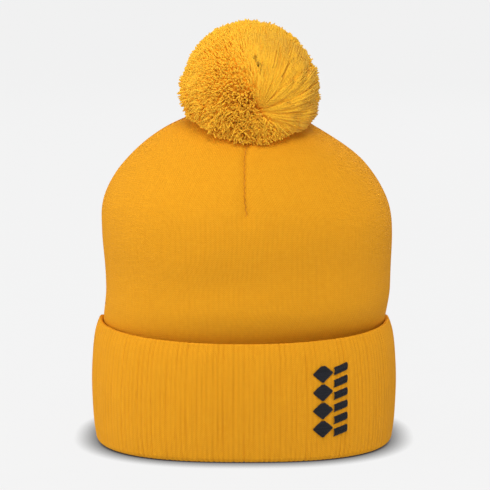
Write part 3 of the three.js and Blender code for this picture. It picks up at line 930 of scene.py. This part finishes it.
# %% Pom pieces
def make_pom():
    """Strands whose tips would lie deep in the crown are left out. The rest make four pieces, left and
    right of the tie and upper and lower, so that none holds too many faces."""
    path, tip, buried, low, smooth, share, rng = pom_paths()
    keep = buried < 9
    leftwards = tip @ np.array([np.cos(TIE_YAW), np.sin(TIE_YAW), 0]) < 0
    thick = 0.86 * rng.uniform(0.85, 1.15, len(path))
    taper = np.array([0.9, 1, 1.05, 0.95, 0.38])
    # Painted light and shade: strands on the upper left, where the light falls, are lighter, and strands
    # low down and in the parting's hollow are darker. The normal spread is random tone.
    tone = rng.normal(0.84, 0.06, len(path)) + 0.1 * smooth - 0.05 * low - 0.25 * share
    tone = np.clip(tone, 0.2, 1.1)
    # Painted shade: each strand darkens from its tip towards its root, deep in the pom.
    depth = np.array([0.6, 0.75, 0.9, 1.0, 1.05])
    for side, here in (("left", leftwards), ("right", ~leftwards)):
        for level, part in (("upper", tip[:, 2] >= STRAND_TOP), ("lower", tip[:, 2] < STRAND_TOP)):
            chosen = keep & here & part
            piece = strands(
                f"pom_yarn_{side}_{level}", path[chosen], thick[chosen, None] * taper, "pom",
                pom_yarn, tone[chosen, None] * depth,
            )
            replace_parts(piece, f"pom_tuft_{side}")
            print(piece.name, int(chosen.sum()), "strands")


make_pom()


# %% [markdown]
# Under its cut tips a real pom is imported solid. Strands that ran all the way to the tie would spend
# most of their faces where nobody sees them, so they start partway out, and one closed ball of the
# same yarn stands for what is packed beneath them. The ball is coloured darker, as painted shade.

# %% Pom core
CORE_COLUMNS = 120
CORE_ROWS = 80
# CORE_SHADE is painted shade: the core's colour is set darker, as yarn under the tips lies in shade.
CORE_SHADE = 0.62


def make_core():
    """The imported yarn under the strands' ends: a ball a few millimetres inside the cut surface, pulled
    in further at the parting, with a shallow cushion over each clump."""
    rng = np.random.default_rng(11)
    bearing = np.linspace(0, 2 * np.pi, CORE_COLUMNS, endpoint=False)[None, :]
    rise = np.linspace(-89, 89, CORE_ROWS)[:, None] * np.pi / 180
    level = np.cos(rise)
    way = np.broadcast_arrays(level * np.cos(bearing), level * np.sin(bearing), np.sin(rise))
    way = np.stack(way, -1).reshape(-1, 3)
    share, _, angle = combed(way)
    smooth = smooth_side(way)
    cushions = spread_directions(POM_CLUMPS, rng, 0.05)
    nearest = np.degrees(np.arccos(np.clip((way @ cushions.T).max(1), -1, 1)))
    hollow = 0.11 * np.exp(-((angle / 16) ** 2))
    reach = 0.925 + 0.025 * smooth - 0.08 * share - hollow - 0.004 * nearest
    ball = POM_CENTRE + POM_RADIUS * reach[:, None] * way
    ball[:, 2] = np.maximum(ball[:, 2], clear_height(ball[:, 0], ball[:, 1], 3.0))
    at = np.arange(len(ball)).reshape(CORE_ROWS, CORE_COLUMNS)
    beside = np.roll(at, -1, 1)
    quads = np.stack([at[:-1], beside[:-1], beside[1:], at[1:]], -1).reshape(-1, 4)
    caps = [at[:1, ::-1], at[-1:]]
    uv = [np.stack([quads % CORE_COLUMNS * 1.0, quads // CORE_COLUMNS * 1.0], -1)]
    uv = uv + [np.zeros((1, CORE_COLUMNS, 2))] * 2
    shade = np.full(len(ball), CORE_SHADE)
    piece = make_piece("pom_core", ball * MM, [quads, *caps], "pom", pom_yarn, uv, shade)
    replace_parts(piece, "pom_tuft_left", "pom_tuft_right")


make_core()


# %% [markdown]
# ## Crown seams
#
# Four darts are sewn shut where the crown narrows. From outside each is a groove with small slanting
# stitches down in it. A dark line in the cloth's colour would look drawn on, so the groove is in the
# cloth's shape and the stitches are real strands. Inside, the overlock thread that binds the cut
# edges zigzags over the ridge.

# %% Seam stitches
SEAM_SIDES = {"right": 0.0, "back": 0.5 * np.pi, "left": np.pi, "front": 1.5 * np.pi}
SEAM_THREAD = 0.3


def seam_stitches(name, node, theta, inset, lift, spread, pitch):
    """Short stitches along a dart. Each runs from one side of the seam to the other while it climbs,
    humping up by lift in its middle, and every second one leans the other way."""
    line = evenly(shell_line(SHELL_TUBE_TOP, inset)[6:], 400)
    line = line[(line[:, 1] > SEAM_FOOT) & (line[:, 0] > 7)]
    normal = normals_of(line) * -1
    length = np.linalg.norm(np.diff(line, axis=0), axis=1).sum()
    count = int(length / pitch)
    t = np.linspace(-0.5, 0.5, 6)[None, :]
    at = (np.arange(count)[:, None] + 0.5 + 0.95 * t) / count * (len(line) - 1)
    r = np.interp(at, np.arange(len(line)), line[:, 0])
    z = np.interp(at, np.arange(len(line)), line[:, 1])
    out = np.sign(lift) * SEAM_THREAD / 2 + lift * np.cos(np.pi * t) ** 2
    r = r + out * np.interp(at, np.arange(len(line)), normal[:, 0])
    z = z + out * np.interp(at, np.arange(len(line)), normal[:, 1])
    lean = np.where(np.arange(count) % 2 == 0, 1.0, -1.0)[:, None]
    angle = theta + lean * spread * 2 * t / np.maximum(r, 6)
    rng = np.random.default_rng(5)
    tone = rng.uniform(0.35, 0.8, count)
    piece = strands(name, shell_point(r, angle, z), SEAM_THREAD, "crown", seam_thread, tone)
    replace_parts(piece, node)


for side, theta in SEAM_SIDES.items():
    node = f"crown_seam_{side}"
    seam_stitches(f"{node}_stitches", node, theta, inset=0.0, lift=0.18, spread=0.35, pitch=2.1)
    node = f"lining_seam_{side}"
    inner = 2 * KNIT + GAP
    seam_stitches(f"{node}_overlock", node, theta, inset=inner, lift=-0.5, spread=2.1, pitch=1.3)


# %% [markdown]
# ## The stitched motif
#
# The motif is satin stitch: rows of shiny thread laid side by side, each humping over from one edge
# of a shape to the other. A flat black patch would not catch the light as thread does, so every
# stitch is its own strand. It is sewn through the cuff's outer ply, so it follows the cuff's curve.
# Its design is plain: a column of lozenges beside a column of slanting bars.

# %% Places on the cuff's face
def cuff_radius(z):
    """Half width of the cuff's outside at height z."""
    wall = through(CUFF_SHAPE, 20)
    return np.interp(z, wall[:, 1], wall[:, 0])


def on_cuff(x, z, out):
    """Point standing out from the cuff's face, at x across the front and height z. Its depth comes
    from the superellipse, and the way out is the superellipse's normal."""
    x, z, out = np.broadcast_arrays(x, z, out)
    r = cuff_radius(z)
    n = cuff_square(r, z)
    share = np.minimum(0.999, np.abs(x) / r)
    y = r * (1 - share**n) ** (1 / n)
    normal = unit(np.stack([np.sign(x) * share ** (n - 1), -((y / r) ** (n - 1)) / DEPTH, 0 * x], -1))
    place = np.stack([x, -DEPTH * y, z - cuff_dip(np.arctan2(-y, x), z)], -1)
    return place + normal * out[..., None]


# %% Satin stitches
MOTIF_BOTTOM = 15.0
MOTIF_HEIGHT = 48.0
MOTIF_COLUMNS = {"left": (48.0, 11.6, 4), "right": (58.8, 8.2, 6)}
THREAD_PITCH = 0.4
SATIN_THREAD = 0.29


def lozenge_stitches(x, z, width, height, rng):
    """Level stitches whose half length shrinks from the lozenge's waist to its points."""
    rise = np.arange(-0.47 * height, 0.47 * height, THREAD_PITCH)[:, None]
    half = width / 2 * (1 - np.abs(2 * rise / height) ** 1.15) + 0.25
    half = half + rng.uniform(-0.12, 0.12, half.shape)
    t = np.linspace(-1, 1, 9)[None, :]
    return x + half * t, z + rise + 0.1 * t


def bar_stitches(x, z, width, height, rng):
    """Upright stitches across a bar whose middle climbs from left to right."""
    step = np.arange(-0.48 * width, 0.48 * width, THREAD_PITCH)[:, None]
    slope = 0.4 * height / width
    half = 0.36 * height + rng.uniform(-0.1, 0.1, step.shape)
    t = np.linspace(-1, 1, 9)[None, :]
    return x + step + 0.1 * t, z + slope * step + half * t


def make_motif():
    """Each shape is one piece of stitches, whose humps rise quickly from the edges: 1 - t to the
    fourth, with t from -1 to 1 along a stitch."""
    rng = np.random.default_rng(21)
    for name, (x, width, count) in MOTIF_COLUMNS.items():
        pitch = MOTIF_HEIGHT / count
        for i in range(count):
            z = MOTIF_BOTTOM + pitch * (i + 0.5)
            if name == "left":
                across, up = lozenge_stitches(x, z, width, pitch * 0.92, rng)
            else:
                across, up = bar_stitches(x, z, width, pitch * 0.82, rng)
            t = np.linspace(-1, 1, 9)[None, :]
            hump = 0.25 + 0.95 * (1 - t**4) + rng.uniform(-0.04, 0.04, (len(across), 1))
            tone = rng.uniform(0.3, 0.9, len(across))
            piece = strands(
                f"satin_{name}_{i + 1}", on_cuff(across, up, hump), SATIN_THREAD, "cuff",
                black_thread, tone,
            )
            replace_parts(piece, f"stitched_{name}_{i + 1}")


make_motif()


# %% [markdown]
# ## Small parts inside
#
# A soft backing behind the motif keeps the stitches from pulling. It is a small slab of fleece bent
# along the cuff. A plane with a thickness would do for a flat one, but this one follows the squared
# oval, so both its faces are worked out point by point and joined round their rim.

# %% Backing
felt = Recipe("backing fleece")
lint = felt.noise(felt.object_place(), 1500.0, 4.0)
felt.bump(lint, 0.15 * MM)
felt.surface(
    Base_Color=felt.blend(lint, srgb(214, 212, 206), srgb(242, 241, 237)), Roughness=0.95,
    Specular_IOR_Level=0.1, Sheen_Weight=0.2,
)


def closed_sheet(top, bottom):
    """Points and quads of a slab whose two faces are equal grids (rows, columns, 3)."""
    rows, columns = top.shape[:2]
    points = np.concatenate([top.reshape(-1, 3), bottom.reshape(-1, 3)])
    at = np.arange(rows * columns).reshape(rows, columns)
    front = np.stack([at[:-1, :-1], at[:-1, 1:], at[1:, 1:], at[1:, :-1]], -1).reshape(-1, 4)
    rim = np.concatenate([at[0, :-1], at[:-1, -1], at[-1, :0:-1], at[:0:-1, 0]])
    following = np.roll(rim, -1)
    under = rows * columns
    edge = np.stack([following, rim, rim + under, following + under], -1)
    return points, [front, front[:, ::-1] + under, edge]


def sheet_uvs(groups, size):
    """Corner coordinates for closed_sheet, from each point's place in its grid."""
    rows, columns = size
    number = [faces % (rows * columns) for faces in groups]
    return [np.stack([n % columns, n // columns], -1).astype(float) for n in number]


BACKING_SIZE = (26.0, 54.0)
BACKING_PLACE = (53, 39)
BACKING_THICKNESS = 0.3


def make_backing():
    """Two equal grids behind the motif, BACKING_THICKNESS apart, with slightly rounded outlines."""
    u, v = np.meshgrid(np.linspace(-1, 1, 27), np.linspace(-1, 1, 55))
    x = BACKING_PLACE[0] + BACKING_SIZE[0] / 2 * u * (1 - 0.02 * v**8)
    z = BACKING_PLACE[1] + BACKING_SIZE[1] / 2 * v * (1 - 0.01 * u**8)
    behind = -(KNIT + GAP + 0.6) + 0.03 * np.sin(9 * u) * np.cos(11 * v)
    points, groups = closed_sheet(on_cuff(x, z, behind + BACKING_THICKNESS), on_cuff(x, z, behind))
    piece = make_piece(
        "motif_backing_fleece", points * MM, groups, "cuff", felt.material,
        sheet_uvs(groups, u.shape),
    )
    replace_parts(piece, "motif_backing")
    return piece


motif_backing = make_backing()


# %% [markdown]
# The care label is a folded satin ribbon sewn inside the back, left plain. Two flat cards would do, but
# they would meet in a sharp edge, so one strip runs down, round a small arc and up again. Its weave
# is a fine ripple along the ribbon.

# %% Care label
satin = Recipe("white satin ribbon")
_, _, along_ribbon = satin.stitch_uv()
weft = satin.math("ABSOLUTE", satin.math("SINE", satin.math("MULTIPLY", along_ribbon, 2.4 * np.pi)))
slub = satin.noise(satin.object_place(), 700.0, 2.0)
satin.bump(satin.math("MULTIPLY_ADD", slub, 0.4, weft), 0.04 * MM)
satin.surface(
    Base_Color=satin.blend(slub, srgb(226, 224, 218), srgb(248, 247, 243)), Roughness=0.42,
    Specular_IOR_Level=0.4, Sheen_Weight=0.2, Anisotropic=0.4,
)
LABEL_WIDTH = 22.0
LABEL_LENGTH = 38.0
LABEL_TOP = 80.0
LABEL_LEAF = 0.35
LABEL_FOLD = 1.4


def make_label():
    """A ribbon folded in half: down the back leaf, round the fold and up the front leaf. Across its
    width the front leaf curls a little away from the back one."""
    wall = INNER_WALL - 0.9
    bend = (LABEL_FOLD - LABEL_LEAF) / 2
    middle = wall - LABEL_LEAF / 2 - bend
    foot = LABEL_TOP - LABEL_LENGTH + bend + LABEL_LEAF / 2
    down = np.stack([np.full(24, middle + bend), np.linspace(LABEL_TOP, foot + 1, 24)], 1)
    fold = arc((middle, foot), bend, 0, -180, 13)
    up = np.stack([np.full(24, middle - bend), np.linspace(foot + 1, LABEL_TOP - 1, 24)], 1)
    line = np.concatenate([down, fold, up])
    normal = normals_of(line)
    share = np.clip((np.arange(len(line)) - 30) / 31, 0, 1)[:, None]
    u = np.linspace(-1, 1, 31)[None, :]
    sides = []
    for face in (0.5, -0.5):
        y = line[:, :1] + face * LABEL_LEAF * normal[:, :1] - 0.5 * share * u**2 * (1 - share) * 2
        z = line[:, 1:] + face * LABEL_LEAF * normal[:, 1:] + 0 * u
        sides.append(np.stack(np.broadcast_arrays(LABEL_WIDTH / 2 * u, y, z), -1))
    points, groups = closed_sheet(*sides)
    piece = make_piece(
        "care_label_ribbon", points * MM, groups, "label", satin.material,
        sheet_uvs(groups, (len(line), 31)),
    )
    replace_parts(piece, "care_label")
    return piece


care_label = make_label()


# %% [markdown]
# The label is held by a line of stitches along its top. Like the crown's seams they are strands, and
# they lean both ways in turn, so that they cross.

# %% Label tack
TACK_COUNT = 15
TACK_PITCH = 1.45


def make_tack():
    """Two rows of small stitches, leaning opposite ways, that hold the label's top edge to the lining."""
    wall = INNER_WALL - 1.1
    x = (np.arange(TACK_COUNT) - (TACK_COUNT - 1) / 2) * TACK_PITCH
    t = np.linspace(-0.5, 0.5, 6)
    paths = []
    for lean in (0.6, -0.6):
        across = x[:, None] + lean * t
        y = wall + 0.1 - 0.3 * np.cos(np.pi * t) + 0 * across
        z = LABEL_TOP + 1.7 + 1.1 * t + 0 * across
        paths.append(np.stack([across, y, z], -1))
    tone = np.random.default_rng(8).uniform(0.5, 0.9, 2 * TACK_COUNT)
    piece = strands(
        "label_tack_stitches", np.concatenate(paths), 0.2, "crown", white_thread, tone
    )
    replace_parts(piece, "label_tack")


make_tack()


# %% [markdown]
# The pom hangs from an anchor thread that comes up through the crown's apex, and the thread ends in a
# knot under the lining. A single tube would read as wire, so the thread is two strands twisted round
# one route. The tie round the pom's middle is a coil of three turns.

# %% Anchor thread and tie
def twisted(route, radius, turns):
    """Two strands wound round a route (k, 3), half a turn apart."""
    along = unit(np.gradient(route, axis=0))
    side = unit(np.cross(along, [0.9, 0.1, 0.2]))
    rise = np.cross(side, along)
    t = np.linspace(0, 1, len(route))[:, None]
    angle = 2 * np.pi * turns * t
    return np.stack([
        route + radius * (np.cos(angle + o) * side + np.sin(angle + o) * rise) for o in (0.0, np.pi)
    ])


def make_anchor():
    """The thread's route goes straight up through the apex and then leans towards the pom's middle. It
    is rounded by averaging each point with its neighbours, twelve times."""
    way = unit(POM_CENTRE - APEX)
    corners = np.array([
        [APEX[0], APEX[1], 207.9], [APEX[0], APEX[1], 211], [APEX[0], APEX[1], 214],
        APEX + 6 * way, POM_CENTRE - 10 * way, POM_CENTRE - 6.6 * way,
    ])
    t = np.linspace(0, len(corners) - 1, 60)
    route = np.stack([np.interp(t, np.arange(len(corners)), corners[:, k]) for k in range(3)], 1)
    smooth = np.array([0.25, 0.5, 0.25])
    for _ in range(12):
        inner = np.stack([np.convolve(route[:, k], smooth, "valid") for k in range(3)], 1)
        route = np.concatenate([route[:1], inner, route[-1:]])
    piece = strands(
        "anchor_cord", twisted(route, 0.42, 5), 0.45, "pom_thread", seam_thread,
        [0.6, 0.75],
    )
    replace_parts(piece, "pom_anchor_thread")


def make_tie():
    """Three turns of a circle square to the pom's long axis, drifting a little along it and back."""
    turn = np.linspace(0, 3 * 2 * np.pi, 90)
    coil = np.stack([-2.2 + 0.55 * np.sin(turn / 3), 3.4 * np.cos(turn), 3.4 * np.sin(turn)], 1)
    cos, sin = np.cos(TIE_YAW), np.sin(TIE_YAW)
    coil = coil @ np.array([[cos, sin, 0], [-sin, cos, 0], [0, 0, 1]]) + POM_CENTRE
    tie = strands("pom_tie_coil", coil[None], 0.5, "pom", seam_thread, [0.7])
    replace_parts(tie, "pom_tie")


make_anchor()
make_tie()


# %% [markdown]
# The knot is a flat button of thread. Tying it truly, over and under, would take a long hand-made
# path, and it is hardly seen, so a ring of crossing loops gives the same look.

# %% Knot
KNOT_HEIGHT = 207.4


def make_knot():
    """Loops of thread laid over and under each other in a flat button of a knot. Each loop is a
    tilted circle, and the button is pressed to a third of its width."""
    turn = np.linspace(0, 2 * np.pi, 41)
    tilt = np.linspace(0, np.pi, 9, endpoint=False)[:, None]
    x = 4.3 * np.cos(turn) * np.cos(tilt) - 2.6 * np.sin(turn) * np.sin(tilt)
    y = 4.3 * np.cos(turn) * np.sin(tilt) + 2.6 * np.sin(turn) * np.cos(tilt)
    z = 0.55 * np.sin(3 * turn + 2 * tilt) + 0.35 * np.cos(tilt)
    loops = np.stack([APEX[0] + x, APEX[1] + y, KNOT_HEIGHT + z], -1)
    piece = strands(
        "anchor_knot_loops", loops, 0.62, "crown", seam_thread,
        np.linspace(0.4, 0.8, len(loops)),
    )
    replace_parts(piece, "anchor_knot")


make_knot()


# %% [markdown]
# ## Cloth sizes
#
# The plies were knitted as tubes, so a tube's flat width is its way round. The crown's two plies
# lose four darts at the top. The area of each sheet is measured on its mesh and printed.

# %% Cloth
def surface_area(piece):
    """Sum of the areas of a mesh's faces, in square metres."""
    return sum(face.area for face in piece.data.polygons)


def declare_cloth():
    """Prints each sheet's area on one side, half the sum of its faces' areas, in square metres."""
    for ply in (outer_shell, lining_shell, cuff_face, cuff_back, motif_backing, care_label):
        print(ply.name, "has about", round(surface_area(ply) / 2, 5), "square metres a side")


declare_cloth()


# %% Finish
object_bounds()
